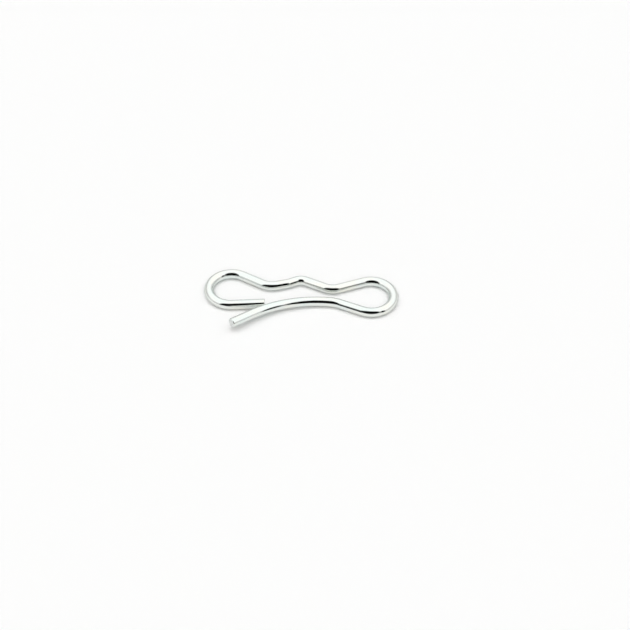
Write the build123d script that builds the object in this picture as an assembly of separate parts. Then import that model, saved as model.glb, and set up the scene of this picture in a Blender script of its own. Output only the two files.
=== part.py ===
from build123d import *
import os
from collections import namedtuple
from math import asin, atan2, cos, degrees, hypot, radians, sin, sqrt

# Spring wire
wire_diameter = 2.0
end_rounding = 0.2

# Loops at the two ends, turned round one size of former
loop_inside_diameter = 7.2
loop_spacing = 29.1

# Through leg, which goes through the cross hole of a shaft: a long bow, then a straight tip
bow_peak_from_middle = 6.0
bow_peak_below_loops = 2.23
bow_spring_side_inside_radius = 6.0
bow_tip_side_inside_radius = 22.9
tip_angle = 40.1
tip_straight_length = 5.15

# Waved leg, which lies on the outside of that shaft: a crest between two waists, with a slight
# counter bend, the foot, on its flank on the latch side
largest_shaft_diameter = 11.6
crest_from_middle = 0.2
crest_inside_radius = 1.4
foot_share_of_flank = 0.5
foot_dip_of_flank = 0.045
foot_inside_radius = 2.0
waist_above_loops = 1.62
spring_waist_from_middle = 6.2
spring_waist_inside_radius = 2.4
latch_waist_from_middle = 6.5
latch_waist_inside_radius = 3.15

# Latch leg, whose cut end stops beside the through leg, which springs up a little against it
latch_leg_angle = 7.5
latch_gap = 0.2
latch_lift = 0.5

wire_radius = wire_diameter / 2

# A bend follows a round former: its centre, the radius of the wire's own line and the way it turns
Bend = namedtuple("Bend", "x y radius turn")
LEFT = 1
RIGHT = -1
QUARTER_TURN = 90
FULL_TURN = 360


def bend_radius(inside_radius):
    """Radius of the wire's centre line on a former of the given radius."""
    return inside_radius + wire_radius


def point_on(bend, heading):
    """Where the wire's line has the given heading on a bend."""
    angle = radians(heading)
    reach = bend.turn * bend.radius
    return Vector(bend.x + reach * sin(angle), bend.y - reach * cos(angle))


def heading_between(first, second):
    """Heading of the straight run that leaves one bend and meets the next, tangent to both."""
    across, along = second.y - first.y, second.x - first.x
    spread = first.turn * first.radius - second.turn * second.radius
    return degrees(atan2(across, along) + asin(spread / hypot(along, across)))


def arc_on(bend, heading_in, heading_out):
    """The arc of a bend from one heading to another."""
    swept = (bend.turn * (heading_out - heading_in)) % FULL_TURN
    start_angle = heading_in - bend.turn * QUARTER_TURN
    return CenterArc((bend.x, bend.y), bend.radius, start_angle, bend.turn * swept)


def straight_on(start, heading, length):
    """A straight run of given heading and length."""
    return Line(start, start + Vector(length, 0).rotate(Axis.Z, heading))


def height_on(bend, x):
    """Height of the upper side of a bend's circle at a place along the clip."""
    return bend.y + sqrt(bend.radius**2 - (x - bend.x) ** 2)


def length_to(bend, distance, start, heading):
    """Length of the straight run from a point until it is at a distance outside a bend's circle."""
    from_centre = start - Vector(bend.x, bend.y)
    along = from_centre.dot(Vector(1, 0).rotate(Axis.Z, heading))
    outside = from_centre.length**2 - (bend.radius + distance) ** 2
    return -along - sqrt(along**2 - outside)


# Formers in the order in which the wire meets them, from its tip
bow_tip_radius = bend_radius(bow_tip_side_inside_radius)
bow_spring_radius = bend_radius(bow_spring_side_inside_radius)
bow_peak = -bow_peak_below_loops
bow_tip_side = Bend(bow_peak_from_middle, bow_peak - bow_tip_radius, bow_tip_radius, RIGHT)
bow_spring_side = Bend(bow_peak_from_middle, bow_peak - bow_spring_radius, bow_spring_radius, RIGHT)

loop_radius = bend_radius(loop_inside_diameter / 2)
spring_loop = Bend(loop_spacing / 2, 0, loop_radius, LEFT)
latch_loop = Bend(-loop_spacing / 2, 0, loop_radius, LEFT)

crest_radius = bend_radius(crest_inside_radius)
crest_height = height_on(bow_tip_side, -crest_from_middle) + largest_shaft_diameter / 2 + wire_radius
crest = Bend(-crest_from_middle, crest_height - crest_radius, crest_radius, LEFT)

spring_waist_radius = bend_radius(spring_waist_inside_radius)
latch_waist_radius = bend_radius(latch_waist_inside_radius)
spring_waist_y = waist_above_loops + spring_waist_radius
latch_waist_y = waist_above_loops + latch_waist_radius
spring_waist = Bend(spring_waist_from_middle, spring_waist_y, spring_waist_radius, RIGHT)
latch_waist = Bend(-latch_waist_from_middle, latch_waist_y, latch_waist_radius, RIGHT)

# The counter bend presses the straight flank from the crest to the latch waist down by a part of its length
flank_heading = heading_between(crest, latch_waist)
flank_start = point_on(crest, flank_heading)
flank = point_on(latch_waist, flank_heading) - flank_start
foot_radius = bend_radius(foot_inside_radius)
foot_offset = foot_radius - foot_dip_of_flank * flank.length
foot_side = Vector(foot_offset, 0).rotate(Axis.Z, flank_heading - QUARTER_TURN)
foot_centre = flank_start + flank * foot_share_of_flank + foot_side
foot = Bend(foot_centre.X, foot_centre.Y, foot_radius, RIGHT)

# Flat run of the wire: spring loop, waved leg, latch loop and latch leg
root_heading = heading_between(bow_spring_side, spring_loop)
flat_bends = [spring_loop, spring_waist, crest, foot, latch_waist, latch_loop]
headings = [root_heading]
headings += [heading_between(first, second) for first, second in zip(flat_bends, flat_bends[1:])]
headings += [latch_leg_angle]

flat_run = [Line(point_on(bow_spring_side, root_heading), point_on(spring_loop, root_heading))]
for place, bend in enumerate(flat_bends):
    heading_in, heading_out = headings[place], headings[place + 1]
    flat_run.append(arc_on(bend, heading_in, heading_out))
    if bend is not latch_loop:
        following = flat_bends[place + 1]
        flat_run.append(Line(point_on(bend, heading_out), point_on(following, heading_out)))

# The latch leg ends at the side of the through leg, a gap away from it
latch_leg_start = point_on(latch_loop, latch_leg_angle)
beside_leg = sqrt((wire_diameter + latch_gap) ** 2 - latch_lift**2)
latch_leg_length = length_to(bow_tip_side, beside_leg, latch_leg_start, latch_leg_angle)
latch_leg = straight_on(latch_leg_start, latch_leg_angle, latch_leg_length)
flat_run.append(latch_leg)

# The through leg springs up there, so its plane is turned about its straight root
root = Axis(flat_run[0] @ 0, flat_run[0] % 0)
reach_from_root = (latch_leg @ 1 - root.position).cross(root.direction).length
leg_turn = -degrees(asin(latch_lift / reach_from_root))

tip_run = straight_on(point_on(bow_tip_side, tip_angle), tip_angle, -tip_straight_length)
leg_run = [
    Line(tip_run @ 1, tip_run @ 0),
    arc_on(bow_tip_side, tip_angle, 0),
    arc_on(bow_spring_side, 0, root_heading),
]
leg_run = [piece.rotate(root, leg_turn) for piece in leg_run]

# One wire of round section along the whole line, cut square and rounded at its ends
wire_line = Wire([piece.edge() for piece in leg_run + flat_run])
section = Plane(origin=wire_line @ 0, z_dir=wire_line % 0) * Circle(wire_radius)
clip = sweep(section, path=wire_line)
cut_ends = clip.faces().filter_by(GeomType.PLANE)
clip = fillet(cut_ends.edges(), end_rounding)

# The clip lies on the surface under its flat run, with the middle of its outline over the origin
box = clip.bounding_box()
clip = clip.moved(Location((-box.center().X, -box.center().Y, -box.min.Z)))

os.makedirs("parts", exist_ok=True)
export_step(clip, "parts/clip_wire.step")
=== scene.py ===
from collections import namedtuple
from math import asin, atan2, ceil, cos, hypot, pi, radians, sin, sqrt

import bpy
import numpy as np
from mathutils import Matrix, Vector, noise


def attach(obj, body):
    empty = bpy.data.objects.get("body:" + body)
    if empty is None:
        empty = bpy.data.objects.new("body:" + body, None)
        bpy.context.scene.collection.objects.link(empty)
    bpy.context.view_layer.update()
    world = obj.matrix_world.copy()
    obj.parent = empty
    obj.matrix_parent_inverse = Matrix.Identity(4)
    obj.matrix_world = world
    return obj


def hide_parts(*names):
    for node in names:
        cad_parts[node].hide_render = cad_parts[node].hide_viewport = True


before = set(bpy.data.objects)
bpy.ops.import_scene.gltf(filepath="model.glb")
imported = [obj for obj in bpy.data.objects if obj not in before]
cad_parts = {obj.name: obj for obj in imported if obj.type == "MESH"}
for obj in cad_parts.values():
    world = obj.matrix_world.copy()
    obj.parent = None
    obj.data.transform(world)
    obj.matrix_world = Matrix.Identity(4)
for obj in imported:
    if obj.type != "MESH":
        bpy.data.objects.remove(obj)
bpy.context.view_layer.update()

MM = 0.001
QUARTER_TURN = pi / 2
FULL_TURN = 2 * pi
LEFT = 1
RIGHT = -1

# Sizes of the wire and of its centre line, in millimetres
WIRE_RADIUS = 1.0
END_ROUNDING = 0.2
LOOP_RADIUS = 4.6
LOOP_SPACING = 29.1
BOW_PEAK = (6.0, -2.23)
BOW_SPRING_RADIUS = 7.0
BOW_TIP_RADIUS = 23.9
TIP_HEADING = radians(40.1)
TIP_LENGTH = 5.15
SHAFT_RADIUS = 5.8
CREST_X = -0.2
CREST_RADIUS = 2.4
FOOT_SHARE_OF_FLANK = 0.5
FOOT_DIP_OF_FLANK = 0.045
FOOT_RADIUS = 3.0
WAIST_Y = 1.62
SPRING_WAIST_X = 6.2
SPRING_WAIST_RADIUS = 3.4
LATCH_WAIST_X = -6.5
LATCH_WAIST_RADIUS = 4.15
LATCH_HEADING = radians(7.5)
LATCH_GAP = 0.2
LATCH_LIFT = 0.5

# Fineness of the wire's mesh
RING_STEP = 0.15
RING_SIDES = 72
ROUNDING_RINGS = 8
FACE_RINGS = 9

# Unevenness of the plating, all of it inwards, in millimetres, and its waves per millimetre
SKIN_DEPTH = 0.006
WAVE_DEPTH = 0.006
WAVES_ACROSS = 0.9
WAVES_ALONG = 0.45

# Traces of the cut on the end faces, inwards too: how deep they go, half the width and the slant of the lip
# between the smooth and the torn part, and the level and grain of the torn part
SHEAR_DEPTH = 0.03
SHEAR_LIP = 0.25
SHEAR_SLANT = 0.2
TORN_LEVEL = 0.7
TORN_GRAIN = 0.3
TORN_GRAIN_SIDEWAYS = 4.0
TORN_GRAIN_UPWARDS = 1.6

# How far marks reach, in millimetres: the rub of the latch end on the through leg, and scuffs from the tip
RUB_CORE = 0.2
RUB_REACH = 0.75
SCUFF_CORE = 0.5
SCUFF_REACH = 8.0

# Layout of the texture map: rows of the wire's side, and the two ends beside each other above them
MAP_ROWS = 4
MAP_ROWS_TOP = 0.9
MAP_MARGIN = 0.008
MAP_END_RADIUS = 0.036
MAP_END_PLACES = ((0.05, 0.955), (0.15, 0.955))

# Camera, from the photo: what it points at, where it stands, its lens and sensor, and its nearest and
# farthest sight
AIM = (3.362, -3.1165, 1.0)
CAMERA_AZIMUTH = radians(4.42)
CAMERA_ELEVATION = radians(44.92)
CAMERA_DISTANCE = 400.0
LENS = 111.58
SENSOR_WIDTH = 36.0
NEAR_CLIP = 5.0
FAR_CLIP = 50000.0

# Angles of the studio, in degrees
CIRCLE = 360
ZENITH = 90

# Light tent: its radius, the step and the lowest elevation of its mesh, its white and how that falls off
# towards its foot, and the part of its light that reaches the floor by way of the metal
TENT_RADIUS = 600.0
TENT_STEP = 2.0
TENT_RIM = -10.0
TENT_LIGHT = 1.2
FOOT_LIGHT = 1.0
FOOT_TOP = 32.0
MIRRORED_LIGHT = 0.6

# What is darker in the tent, by azimuth from the camera and elevation: middle, half size, brightness and how
# soft its edge is. A patch with a squareness of 2 would be an ellipse.
Patch = namedtuple("Patch", "azimuth elevation half_width half_height light softness")
PATCH_SQUARENESS = 3
PATCHES = (
    Patch(-4.2, 38, 41.8, 33, 0.004, 0.10),
    Patch(47.5, 21, 8.5, 20, 0.015, 0.18),
    Patch(40, 21, 6, 13, 0.24, 0.3),
    Patch(-40.6, 20, 5.8, 17, 0.05, 0.18),
    Patch(75, 2, 35, 24, 0.70, 0.6),
    Patch(-58, 2, 20, 22, 0.65, 0.6),
    Patch(142, 2, 38, 24, 0.70, 0.6),
    Patch(-130, 2, 50, 24, 0.65, 0.6),
)

# Floor: how far it reaches, its colour, and the share of it that is plain white where it is seen
FLOOR_EDGE = 4000.0
FLOOR_COLOUR = (0.975, 0.975, 0.97, 1)
FLOOR_WHITE_SHARE = 0.03

# Light on the floor: even light of the room, and wide soft lamps by azimuth from the camera, elevation,
# width and the level that they give the floor
ROOM_LIGHT = 0.34
ROOM_COLOUR = (1, 1, 1, 1)
Lamp = namedtuple("Lamp", "name azimuth elevation width light")
LAMPS = (
    Lamp("top_lamp", 0, 89, 40, 0.24),
    Lamp("front_lamp", 0, 48, 40, 0.17),
    Lamp("right_lamp", 80, 62, 40, 0.13),
    Lamp("left_lamp", -88, 62, 40, 0.13),
)

# Bright zinc, from its cool to its warm tints, what it is tinted with where it is seen edge-on, and the bare
# steel of rubbed and cut places
ZINC_TINTS = (
    (0.30, (0.765, 0.835, 0.805, 1)),
    (0.50, (0.805, 0.835, 0.805, 1)),
    (0.70, (0.840, 0.845, 0.780, 1)),
)
EDGE_TINT = (0.6, 0.61, 0.61, 1)
STEEL = (0.76, 0.77, 0.77, 1)

# Noise on the straight wire: how often per millimetre it changes across and along the wire, its detail and
# its roughness
Texture = namedtuple("Texture", "stretch detail roughness")
CLOUDS = Texture((0.45, 0.45, 0.17), 3.0, 0.5)
HAZE = Texture((0.9, 0.9, 0.55), 4.0, 0.6)
DRAW_LINES = Texture((5.0, 5.0, 0.10), 4.0, 0.6)
GRAIN = Texture((9.0, 9.0, 6.0), 2.0, 0.5)
CUT_GRAIN = Texture((3.0, 9.0, 1.0), 4.0, 0.65)

# The span of such noise that counts, and the spans of the draw lines in plain, rubbed and scuffed places
NOISE_SPAN = (0.3, 0.7)
LINE_SPAN = (0.35, 0.7)
RUB_SPAN = (0.35, 0.65)
SCUFF_SPAN = (0.45, 0.7)

# How bare rubbed and cut places are at the ends of those spans
RUB_BARENESS = (0.3, 1.0)
CUT_BARENESS = (0.5, 1.0)

# Roughness of the zinc in its haze, and what draw lines, strain, scuffs and bare steel add to it
HAZE_ROUGHNESS = (0.05, 0.11)
LINE_ROUGHNESS = (0.0, 0.03)
STRAIN_ROUGHNESS = (0.08, 0.22)
SCUFF_ROUGHNESS = (0.0, 0.06)
BARE_ROUGHNESS = 0.22

# Depth of the material's relief, in millimetres
GRAIN_DEPTH = 0.0007
LINE_DEPTH = 0.0016
CUT_GRAIN_DEPTH = 0.02

Bend = namedtuple("Bend", "x y radius turn")
Rings = namedtuple("Rings", "centres directions normals curvatures radii stations cuts")


def point_on(bend, heading):
    """Where the centre line has the given heading on a bend."""
    reach = bend.turn * bend.radius
    return np.array([bend.x + reach * sin(heading), bend.y - reach * cos(heading), 0.0])


def heading_between(first, second):
    """Heading of the straight run that is tangent to two bends."""
    across = second.y - first.y
    along = second.x - first.x
    spread = first.turn * first.radius - second.turn * second.radius
    return atan2(across, along) + asin(spread / hypot(along, across))


def direction(heading):
    """Unit vector of a heading."""
    return np.array([cos(heading), sin(heading), 0.0])


def straight(start, end):
    """Points, directions and curvature along a straight run, without its last point."""
    length = np.linalg.norm(end - start)
    count = max(1, ceil(length / RING_STEP))
    share = np.arange(count)[:, None] / count
    points = start + share * (end - start)
    directions = np.repeat((end - start)[None] / length, count, axis=0)
    return points, directions, np.zeros(count)


def arc(bend, heading_in, heading_out):
    """Points, directions and curvature along a bend, without its last point."""
    swept = (bend.turn * (heading_out - heading_in)) % FULL_TURN
    count = max(1, ceil(swept * bend.radius / RING_STEP))
    headings = heading_in + bend.turn * swept * np.arange(count) / count
    points = np.array([point_on(bend, heading) for heading in headings])
    directions = np.array([direction(heading) for heading in headings])
    return points, directions, np.full(count, bend.turn / bend.radius)


def length_to(bend, distance, start, heading):
    """Length of the straight run from a point until it is at a distance outside a bend."""
    from_centre = start[:2] - np.array([bend.x, bend.y])
    along = from_centre @ direction(heading)[:2]
    outside = from_centre @ from_centre - (bend.radius + distance) ** 2
    return -along - sqrt(along**2 - outside)


def turned(vectors, axis, angles):
    """Vectors turned about a unit axis, each by its own angle."""
    angles = np.broadcast_to(angles, len(vectors))[:, None]
    across = np.cross(axis, vectors)
    along = (vectors @ axis)[:, None] * axis
    return vectors * np.cos(angles) + across * np.sin(angles) + along * (1 - np.cos(angles))


def wave_bends():
    """Bends of the waved leg from the spring loop's side: a waist, the crest, its foot and a waist."""
    bow_y = BOW_PEAK[1] - BOW_TIP_RADIUS
    leg_y = bow_y + sqrt(BOW_TIP_RADIUS**2 - (CREST_X - BOW_PEAK[0]) ** 2)
    crest = Bend(CREST_X, leg_y + SHAFT_RADIUS + WIRE_RADIUS - CREST_RADIUS, CREST_RADIUS, LEFT)
    spring_waist = Bend(SPRING_WAIST_X, WAIST_Y + SPRING_WAIST_RADIUS, SPRING_WAIST_RADIUS, RIGHT)
    latch_waist = Bend(LATCH_WAIST_X, WAIST_Y + LATCH_WAIST_RADIUS, LATCH_WAIST_RADIUS, RIGHT)
    flank_heading = heading_between(crest, latch_waist)
    flank_start = point_on(crest, flank_heading)
    flank = point_on(latch_waist, flank_heading) - flank_start
    foot_offset = FOOT_RADIUS - FOOT_DIP_OF_FLANK * np.linalg.norm(flank)
    foot_side = foot_offset * direction(flank_heading - QUARTER_TURN)
    foot_x, foot_y, _ = flank_start + FOOT_SHARE_OF_FLANK * flank + foot_side
    foot = Bend(foot_x, foot_y, FOOT_RADIUS, RIGHT)
    return [spring_waist, crest, foot, latch_waist]


def wire_line():
    """Centre line from the tip of the through leg to the cut end of the latch leg.

    Returns points, directions, upward normals and curvatures in the plane across the normals.
    The roundings of both ends are left to wire_rings.
    """
    bow_tip = Bend(BOW_PEAK[0], BOW_PEAK[1] - BOW_TIP_RADIUS, BOW_TIP_RADIUS, RIGHT)
    bow_spring = Bend(BOW_PEAK[0], BOW_PEAK[1] - BOW_SPRING_RADIUS, BOW_SPRING_RADIUS, RIGHT)
    spring_loop = Bend(LOOP_SPACING / 2, 0, LOOP_RADIUS, LEFT)
    latch_loop = Bend(-LOOP_SPACING / 2, 0, LOOP_RADIUS, LEFT)

    root_heading = heading_between(bow_spring, spring_loop)
    root_start = point_on(bow_spring, root_heading)
    root = straight(root_start, point_on(spring_loop, root_heading))

    bends = [spring_loop, *wave_bends(), latch_loop]
    headings = [root_heading]
    headings += [heading_between(first, second) for first, second in zip(bends, bends[1:])]
    headings += [LATCH_HEADING]
    flat = []
    for place, bend in enumerate(bends):
        flat.append(arc(bend, headings[place], headings[place + 1]))
        if bend is not latch_loop:
            start = point_on(bend, headings[place + 1])
            flat.append(straight(start, point_on(bends[place + 1], headings[place + 1])))

    latch_start = point_on(latch_loop, LATCH_HEADING)
    beside_leg = sqrt((2 * WIRE_RADIUS + LATCH_GAP) ** 2 - LATCH_LIFT**2)
    latch_length = length_to(bow_tip, beside_leg, latch_start, LATCH_HEADING)
    latch_end = latch_start + latch_length * direction(LATCH_HEADING)
    latch_side_end = latch_end - END_ROUNDING * direction(LATCH_HEADING)
    flat.append(straight(latch_start, latch_side_end))

    tip_in = point_on(bow_tip, TIP_HEADING)
    tip_start = tip_in - (TIP_LENGTH - END_ROUNDING) * direction(TIP_HEADING)
    leg = [straight(tip_start, tip_in), arc(bow_tip, TIP_HEADING, 0), arc(bow_spring, 0, root_heading)]

    # The through leg is turned about its straight root, and the root takes up the turn
    root_axis = direction(root_heading)
    reach = np.linalg.norm(np.cross(latch_end - root_start, root_axis))
    leg_turn = -asin(LATCH_LIFT / reach)
    leg_points, leg_directions, leg_curvatures = (np.concatenate(part) for part in zip(*leg))
    flat_points, flat_directions, flat_curvatures = (np.concatenate(part) for part in zip(*flat))
    leg_points = root_start + turned(leg_points - root_start, root_axis, leg_turn)
    leg_directions = turned(leg_directions, root_axis, leg_turn)
    up = np.array([[0.0, 0.0, 1.0]])
    leg_normals = turned(np.repeat(up, len(leg_points), axis=0), root_axis, leg_turn)
    root_count = len(root[0])
    root_turns = leg_turn * (1 - np.arange(root_count) / root_count)
    root_normals = turned(np.repeat(up, root_count, axis=0), root_axis, root_turns)
    flat_normals = np.repeat(up, len(flat_points) + 1, axis=0)

    points = np.concatenate([leg_points, root[0], flat_points, latch_side_end[None]])
    directions = np.concatenate([leg_directions, root[1], flat_directions, direction(LATCH_HEADING)[None]])
    normals = np.concatenate([leg_normals, root_normals, flat_normals])
    curvatures = np.concatenate([leg_curvatures, root[2], flat_curvatures, [0.0]])
    return points, directions, normals, curvatures


def wire_rings():
    """Rings of the wire from end to end; cuts is -1 on the tip's face, 1 on the latch end's and else 0."""
    points, directions, normals, curvatures = wire_line()
    stations = np.concatenate([[0.0], np.cumsum(np.linalg.norm(np.diff(points, axis=0), axis=1))])
    angles = np.linspace(0, QUARTER_TURN, ROUNDING_RINGS + 1)[1:]
    face_radius = WIRE_RADIUS - END_ROUNDING
    inner_radii = face_radius * (1 - np.arange(1, FACE_RINGS) / FACE_RINGS)
    reach = np.concatenate([END_ROUNDING * np.sin(angles), np.full(FACE_RINGS - 1, END_ROUNDING)])
    end_radii = np.concatenate([face_radius + END_ROUNDING * np.cos(angles), inner_radii])
    count = len(reach)

    def end_rings(place, sign):
        """Rounding and face of a cut end, from the side of the wire towards the middle of the face."""
        on_face = np.arange(count) >= ROUNDING_RINGS - 1
        return Rings(
            points[place] + sign * reach[:, None] * directions[place],
            np.repeat(directions[place][None], count, axis=0),
            np.repeat(normals[place][None], count, axis=0),
            np.zeros(count),
            end_radii,
            stations[place] + sign * reach,
            sign * on_face,
        )

    tip = [values[::-1] for values in end_rings(0, -1)]
    latch = end_rings(len(points) - 1, 1)
    sides = np.full(len(points), WIRE_RADIUS)
    side = [points, directions, normals, curvatures, sides, stations, np.zeros(len(points))]
    return Rings(*(np.concatenate(parts) for parts in zip(tip, side, latch)))


def smooth(low, high, value):
    """0 below low, 1 above high and a smooth rise between."""
    share = np.clip((value - low) / (high - low), 0, 1)
    return share * share * (3 - 2 * share)


def waves(place):
    """Slow unevenness of the wire's side, from 0 to 1."""
    x, y, station = place
    value = noise.noise((x * WAVES_ACROSS, y * WAVES_ACROSS, station * WAVES_ALONG))
    return min(1.0, max(0.0, (1 + value) / 2))


def shear(place):
    """How deep a sheared face lies, from 0 to 1: smooth up to its lip, then torn."""
    x, y, station = place
    torn = smooth(-SHEAR_LIP, SHEAR_LIP, y + SHEAR_SLANT * x)
    grain = noise.noise((TORN_GRAIN_SIDEWAYS * x, TORN_GRAIN_UPWARDS * y, station))
    return float(torn * (TORN_LEVEL + TORN_GRAIN * grain))


def ring_angles():
    """Angles of a ring's points, from the left side of the wire upwards."""
    return FULL_TURN * np.arange(RING_SIDES) / RING_SIDES


def ring_points(rings):
    """Points of every ring on the plain wire, and the unit vectors that point outwards there."""
    angles = ring_angles()
    sides = np.cross(rings.normals, rings.directions)
    sideways = np.cos(angles)[None, :, None] * sides[:, None]
    upwards = np.sin(angles)[None, :, None] * rings.normals[:, None]
    outwards = sideways + upwards
    return rings.centres[:, None] + rings.radii[:, None, None] * outwards, outwards


def straight_places(rings):
    """Place of every point on the straight wire before bending, with the middles of both ends last."""
    angles = ring_angles()
    place = np.empty((len(rings.centres), RING_SIDES, 3))
    place[:, :, 0] = rings.radii[:, None] * np.cos(angles)
    place[:, :, 1] = rings.radii[:, None] * np.sin(angles)
    place[:, :, 2] = rings.stations[:, None]
    middles = np.array([[0, 0, rings.stations[0]], [0, 0, rings.stations[-1]]])
    return np.concatenate([place.reshape(-1, 3), middles])


def relief(rings, outwards, place, cuts):
    """Inward shift of every point, by the unevenness of the plating and the traces of the cuts."""
    inwards = np.concatenate([-outwards.reshape(-1, 3), rings.directions[:1], -rings.directions[-1:]])
    inwards[cuts < 0] = rings.directions[0]
    inwards[cuts > 0] = -rings.directions[-1]
    depth = [SHEAR_DEPTH * shear(p) if cut else WAVE_DEPTH * waves(p) for p, cut in zip(place, cuts)]
    return (SKIN_DEPTH + np.array(depth))[:, None] * inwards


def wear_marks(rings, points, place, cuts):
    """Where the wire is strained by its bends, rubbed by its latch end, scuffed at its tip and cut."""
    latch_end = rings.centres[-1]
    leg = rings.centres[rings.stations < rings.stations[-1] / 2]
    nearest = leg[np.argmin(np.linalg.norm(leg - latch_end, axis=1))]
    touch = nearest + WIRE_RADIUS * (latch_end - nearest) / np.linalg.norm(latch_end - nearest)
    strain = np.repeat(rings.curvatures, RING_SIDES) * place[:-2, 0]
    return {
        "strain": np.abs(np.concatenate([strain, [0.0, 0.0]])),
        "rub": 1 - smooth(RUB_CORE, RUB_REACH, np.linalg.norm(points - touch, axis=1)),
        "scuff": 1 - smooth(SCUFF_CORE, SCUFF_REACH, place[:, 2]),
        "cut": np.abs(cuts),
    }


def map_rows(rings):
    """Where each ring lies on the texture map: whole rows below it, and the share of its row before it."""
    side = rings.cuts == 0
    low = rings.stations[side].min()
    share = (rings.stations - low) / (rings.stations[side].max() - low)
    return share * MAP_ROWS


def wire_faces(rings, place):
    """Faces of the closed wire, all turned outwards, and their corners on the texture map."""
    first = np.arange(RING_SIDES)
    following = (first + 1) % RING_SIDES
    rows = map_rows(rings)
    row_height = MAP_ROWS_TOP / MAP_ROWS
    faces = []
    corners = []

    def on_rows(ring, side):
        """Corners of a face of the wire's side on the texture map."""
        other = ring + 1
        row = min(MAP_ROWS - 1, int((rows[ring] + rows[other]) / 2))
        spots = []
        for at, turn in ((ring, side), (ring, side + 1), (other, side + 1), (other, side)):
            u = MAP_MARGIN + (1 - 2 * MAP_MARGIN) * (rows[at] - row)
            v = row_height * row + MAP_MARGIN + (row_height - 2 * MAP_MARGIN) * turn / RING_SIDES
            spots.append((u, v))
        return spots

    def on_end(end, index):
        """Place of a point of a cut end on the texture map."""
        middle = MAP_END_PLACES[end]
        return tuple(middle[axis] + MAP_END_RADIUS * place[index][axis] / WIRE_RADIUS for axis in (0, 1))

    for ring in range(len(rings.centres) - 1):
        base = ring * RING_SIDES
        above = base + RING_SIDES
        ring_corners = [base + first, base + following, above + following, above + first]
        ring_faces = np.stack(ring_corners, axis=1).tolist()
        faces += ring_faces
        on_cut = rings.cuts[ring] and rings.cuts[ring + 1]
        for side, face in enumerate(ring_faces):
            if on_cut:
                corners += [on_end(int(rings.cuts[ring] > 0), index) for index in face]
            else:
                corners += on_rows(ring, side)

    tip_middle = len(rings.centres) * RING_SIDES
    latch_middle = tip_middle + 1
    last = tip_middle - RING_SIDES
    tip_fan = [[tip_middle, int(b), int(a)] for a, b in zip(first, following)]
    latch_fan = [[latch_middle, int(last + a), int(last + b)] for a, b in zip(first, following)]
    for end, fan in enumerate((tip_fan, latch_fan)):
        faces += fan
        corners += [on_end(end, index) for face in fan for index in face]
    return faces, corners


def build_wire():
    """The wire as one closed mesh, with its wear and the place of every point on the straight wire."""
    rings = wire_rings()
    exact, outwards = ring_points(rings)
    low = exact.min(axis=(0, 1))
    high = exact.max(axis=(0, 1))
    to_frame = -np.array([(low[0] + high[0]) / 2, (low[1] + high[1]) / 2, low[2]])

    place = straight_places(rings)
    cuts = np.concatenate([np.repeat(rings.cuts, RING_SIDES), [-1, 1]])
    points = np.concatenate([exact.reshape(-1, 3), rings.centres[:1], rings.centres[-1:]])
    points = points + relief(rings, outwards, place, cuts)
    faces, corners = wire_faces(rings, place)

    mesh = bpy.data.meshes.new("plated_wire")
    mesh.from_pydata(((points + to_frame) * MM).tolist(), [], faces)
    mesh.shade_smooth()
    straight_wire = mesh.attributes.new("straight_wire", "FLOAT_VECTOR", "POINT")
    straight_wire.data.foreach_set("vector", place.ravel())
    for name, values in wear_marks(rings, points, place, cuts).items():
        mesh.attributes.new(name, "FLOAT", "POINT").data.foreach_set("value", values)
    mesh.uv_layers.new(name="OFBake").data.foreach_set("uv", np.array(corners).ravel())
    wire = bpy.data.objects.new("plated_wire", mesh)
    bpy.context.scene.collection.objects.link(wire)
    return wire


class Nodes:
    """Adds shader nodes to a new material, with values and links given by the names of their sockets."""

    def __init__(self, name):
        self.material = bpy.data.materials.new(name)
        self.material.use_nodes = True
        self.tree = self.material.node_tree
        self.tree.nodes.clear()

    def add(self, kind, sockets=None, **settings):
        node = self.tree.nodes.new("ShaderNode" + kind)
        for name, value in settings.items():
            setattr(node, name, value)
        for socket, value in (sockets or {}).items():
            if isinstance(value, bpy.types.NodeSocket):
                self.tree.links.new(value, node.inputs[socket])
            else:
                node.inputs[socket].default_value = value
        return node

    def math(self, operation, first, second):
        return self.add("Math", {0: first, 1: second}, operation=operation).outputs[0]

    def attribute(self, name, output="Fac"):
        return self.add("Attribute", attribute_name=name).outputs[output]

    def noise(self, place, texture):
        """Noise from 0 to 1 on a place that is first stretched by a factor along each axis."""
        stretched = self.add("VectorMath", {0: place, 1: texture.stretch}, operation="MULTIPLY").outputs[0]
        sockets = {
            "Vector": stretched,
            "Scale": 1.0,
            "Detail": texture.detail,
            "Roughness": texture.roughness,
        }
        return self.add("TexNoise", sockets).outputs["Fac"]

    def between(self, value, span, results):
        """A value mapped from a span to the span of the results and held inside it."""
        sockets = {
            "Value": value,
            "From Min": span[0],
            "From Max": span[1],
            "To Min": results[0],
            "To Max": results[1],
        }
        return self.add("MapRange", sockets).outputs["Result"]

    def ramp(self, value, stops):
        """Colour of a value between stops, each of them a position and a colour."""
        node = self.add("ValToRGB", {"Fac": value})
        elements = node.color_ramp.elements
        for position, _ in stops[1:-1]:
            elements.new(position)
        for element, (position, colour) in zip(elements, stops):
            element.position = position
            element.color = colour
        return node.outputs["Color"]

    def bump(self, height, depth, normal=None):
        """Normal of a surface with relief of the given depth in millimetres."""
        sockets = {"Height": height, "Distance": depth * MM, "Strength": 1.0}
        if normal is not None:
            sockets["Normal"] = normal
        return self.add("Bump", sockets).outputs["Normal"]

    def surface(self, shader):
        self.add("OutputMaterial", {"Surface": shader})


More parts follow.
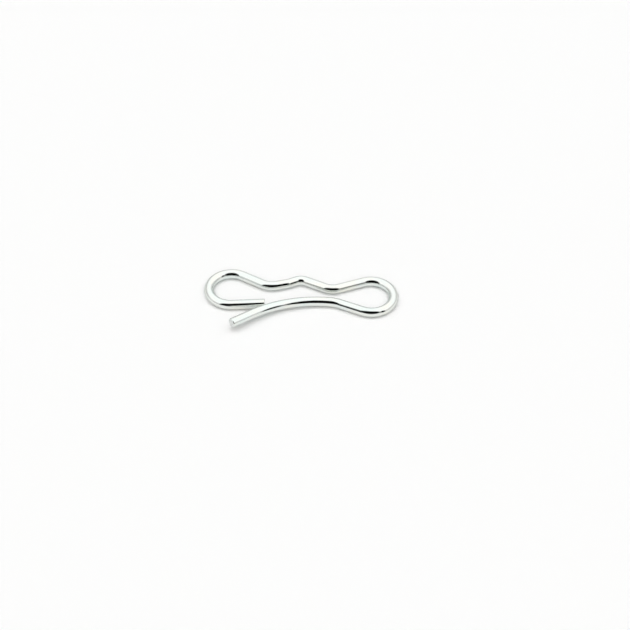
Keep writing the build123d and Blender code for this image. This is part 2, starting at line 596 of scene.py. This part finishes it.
def zinc_material():
    """Bright zinc on drawn wire.

    It has cloudy tints, draw lines along the wire and a fine grain. It is duller where the wire is bent
    tight, scuffed at the tip, and partly bare steel where the latch end rubs and where the ends are cut.
    """
    nodes = Nodes("zinc_wire")
    place = nodes.attribute("straight_wire", "Vector")
    clouds = nodes.noise(place, CLOUDS)
    haze = nodes.noise(place, HAZE)
    lines = nodes.noise(place, DRAW_LINES)
    grain = nodes.noise(place, GRAIN)
    cut_grain = nodes.noise(place, CUT_GRAIN)
    cut = nodes.attribute("cut")

    tints = nodes.ramp(clouds, ZINC_TINTS)
    worn = nodes.math("MULTIPLY", nodes.attribute("rub"), nodes.between(lines, RUB_SPAN, RUB_BARENESS))
    sheared = nodes.math("MULTIPLY", cut, nodes.between(cut_grain, NOISE_SPAN, CUT_BARENESS))
    bare = nodes.math("MAXIMUM", worn, sheared)
    colour = nodes.add("MixRGB", {"Fac": bare, "Color1": tints, "Color2": STEEL})

    strain = nodes.attribute("strain")
    scuff = nodes.attribute("scuff")
    roughness = nodes.between(haze, NOISE_SPAN, HAZE_ROUGHNESS)
    for added in (
        nodes.between(lines, LINE_SPAN, LINE_ROUGHNESS),
        nodes.math("MULTIPLY", strain, nodes.between(grain, NOISE_SPAN, STRAIN_ROUGHNESS)),
        nodes.math("MULTIPLY", scuff, nodes.between(lines, SCUFF_SPAN, SCUFF_ROUGHNESS)),
        nodes.math("MULTIPLY", bare, BARE_ROUGHNESS),
    ):
        roughness = nodes.math("ADD", roughness, added)

    normal = nodes.bump(grain, GRAIN_DEPTH)
    normal = nodes.bump(lines, LINE_DEPTH, normal)
    normal = nodes.bump(nodes.math("MULTIPLY", cut_grain, cut), CUT_GRAIN_DEPTH, normal)
    sockets = {
        "Base Color": colour.outputs["Color"],
        "Metallic": 1.0,
        "Roughness": roughness,
        "Specular Tint": EDGE_TINT,
        "Normal": normal,
    }
    nodes.surface(nodes.add("BsdfPrincipled", sockets).outputs["BSDF"])
    return nodes.material


def add_stage(mesh, material):
    """Puts a piece of the studio into the scene, which is no part of the object."""
    mesh.materials.append(material)
    piece = bpy.data.objects.new(mesh.name, mesh)
    bpy.context.scene.collection.objects.link(piece)
    return piece


def plain_floor():
    """White floor, a small share of which is plain white where it is seen directly or in the metal."""
    nodes = Nodes("floor")
    path = nodes.add("LightPath").outputs
    seen = nodes.math("ADD", path["Is Camera Ray"], path["Is Glossy Ray"])
    seen = nodes.math("ADD", seen, path["Is Transmission Ray"])
    share = nodes.math("MULTIPLY", seen, FLOOR_WHITE_SHARE)
    diffuse = nodes.add("BsdfDiffuse", {"Color": FLOOR_COLOUR}).outputs["BSDF"]
    white = nodes.add("Emission").outputs["Emission"]
    nodes.surface(nodes.add("MixShader", {0: share, 1: diffuse, 2: white}).outputs["Shader"])
    edge = FLOOR_EDGE * MM
    points = [(-edge, -edge, 0), (edge, -edge, 0), (edge, edge, 0), (-edge, edge, 0)]
    mesh = bpy.data.meshes.new("floor")
    mesh.from_pydata(points, [], [(0, 1, 2, 3)])
    add_stage(mesh, nodes.material)


def towards(azimuth, elevation):
    """Unit vector from the object, at an azimuth from the front and an elevation."""
    flat = cos(elevation)
    return Vector((sin(azimuth) * flat, -cos(azimuth) * flat, sin(elevation)))


def tent_light(azimuth, elevation):
    """Brightness of the light tent, by azimuth from the camera and elevation, in degrees."""
    light = FOOT_LIGHT + (TENT_LIGHT - FOOT_LIGHT) * smooth(0, FOOT_TOP, elevation)
    for patch in PATCHES:
        across = abs(azimuth - patch.azimuth) / patch.half_width
        along = abs(elevation - patch.elevation) / patch.half_height
        reach = (across**PATCH_SQUARENESS + along**PATCH_SQUARENESS) ** (1 / PATCH_SQUARENESS)
        inside = 1 - smooth(1 - patch.softness, 1 + patch.softness, reach)
        light = light * (1 - inside) + min(light, patch.light) * inside
    return float(light)


def tent_material():
    """White light of the tent, weaker where it comes to the floor by way of the metal."""
    nodes = Nodes("light_tent")
    depth = nodes.add("LightPath").outputs["Diffuse Depth"]
    strength = nodes.between(depth, (0.0, 1.0), (1.0, MIRRORED_LIGHT))
    emission = nodes.add("Emission", {"Color": nodes.attribute("light"), "Strength": strength})
    nodes.surface(emission.outputs["Emission"])
    return nodes.material


def light_tent():
    """White tent with an opening for the camera, which only reflections reach."""
    azimuths = np.arange(0, CIRCLE, TENT_STEP)
    elevations = np.arange(TENT_RIM, ZENITH, TENT_STEP)
    columns = len(azimuths)
    points = []
    levels = []
    for elevation in elevations:
        for azimuth in azimuths:
            outwards = towards(radians(azimuth) + CAMERA_AZIMUTH, radians(elevation))
            points.append(outwards * TENT_RADIUS * MM)
            levels.append(tent_light((azimuth + CIRCLE / 2) % CIRCLE - CIRCLE / 2, elevation))
    points.append(Vector((0, 0, TENT_RADIUS * MM)))
    levels.append(tent_light(0, ZENITH))
    faces = []
    for row in range(len(elevations) - 1):
        base = row * columns
        for column in range(columns):
            right = (column + 1) % columns
            faces.append((base + column, base + right, base + columns + right, base + columns + column))
    last = (len(elevations) - 1) * columns
    top = len(points) - 1
    faces += [(last + column, last + (column + 1) % columns, top) for column in range(columns)]
    mesh = bpy.data.meshes.new("light_tent")
    mesh.from_pydata(points, [], faces)
    mesh.attributes.new("light", "FLOAT", "POINT").data.foreach_set("value", levels)
    tent = add_stage(mesh, tent_material())
    tent.visible_camera = False
    tent.visible_diffuse = False
    tent.visible_transmission = False
    tent.visible_shadow = False


def studio_light():
    """Even white light all round, and wide soft lamps above, in front and at the sides."""
    world = bpy.data.worlds.new("studio")
    bpy.context.scene.world = world
    world.use_nodes = True
    background = world.node_tree.nodes["Background"]
    background.inputs["Color"].default_value = ROOM_COLOUR
    background.inputs["Strength"].default_value = ROOM_LIGHT
    for lamp in LAMPS:
        back = towards(radians(lamp.azimuth) + CAMERA_AZIMUTH, radians(lamp.elevation))
        data = bpy.data.lights.new(lamp.name, "SUN")
        data.angle = radians(lamp.width)
        data.energy = lamp.light * pi / back.z
        shining = bpy.data.objects.new(lamp.name, data)
        bpy.context.scene.collection.objects.link(shining)
        shining.rotation_euler = back.to_track_quat("Z", "Y").to_euler()
        shining.visible_glossy = False


def camera():
    """Camera where the photo's camera stood."""
    data = bpy.data.cameras.new("camera")
    data.lens = LENS
    data.sensor_width = SENSOR_WIDTH
    data.clip_start = NEAR_CLIP * MM
    data.clip_end = FAR_CLIP * MM
    eye = bpy.data.objects.new("camera", data)
    bpy.context.scene.collection.objects.link(eye)
    back = towards(CAMERA_AZIMUTH, CAMERA_ELEVATION)
    eye.location = (Vector(AIM) + back * CAMERA_DISTANCE) * MM
    eye.rotation_euler = (-back).to_track_quat("-Z", "Y").to_euler()
    bpy.context.scene.camera = eye


wire = build_wire()
wire.data.materials.append(zinc_material())
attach(wire, "root")
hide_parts("clip_wire")
plain_floor()
light_tent()
studio_light()
camera()
bpy.context.scene.view_settings.view_transform = "Standard"
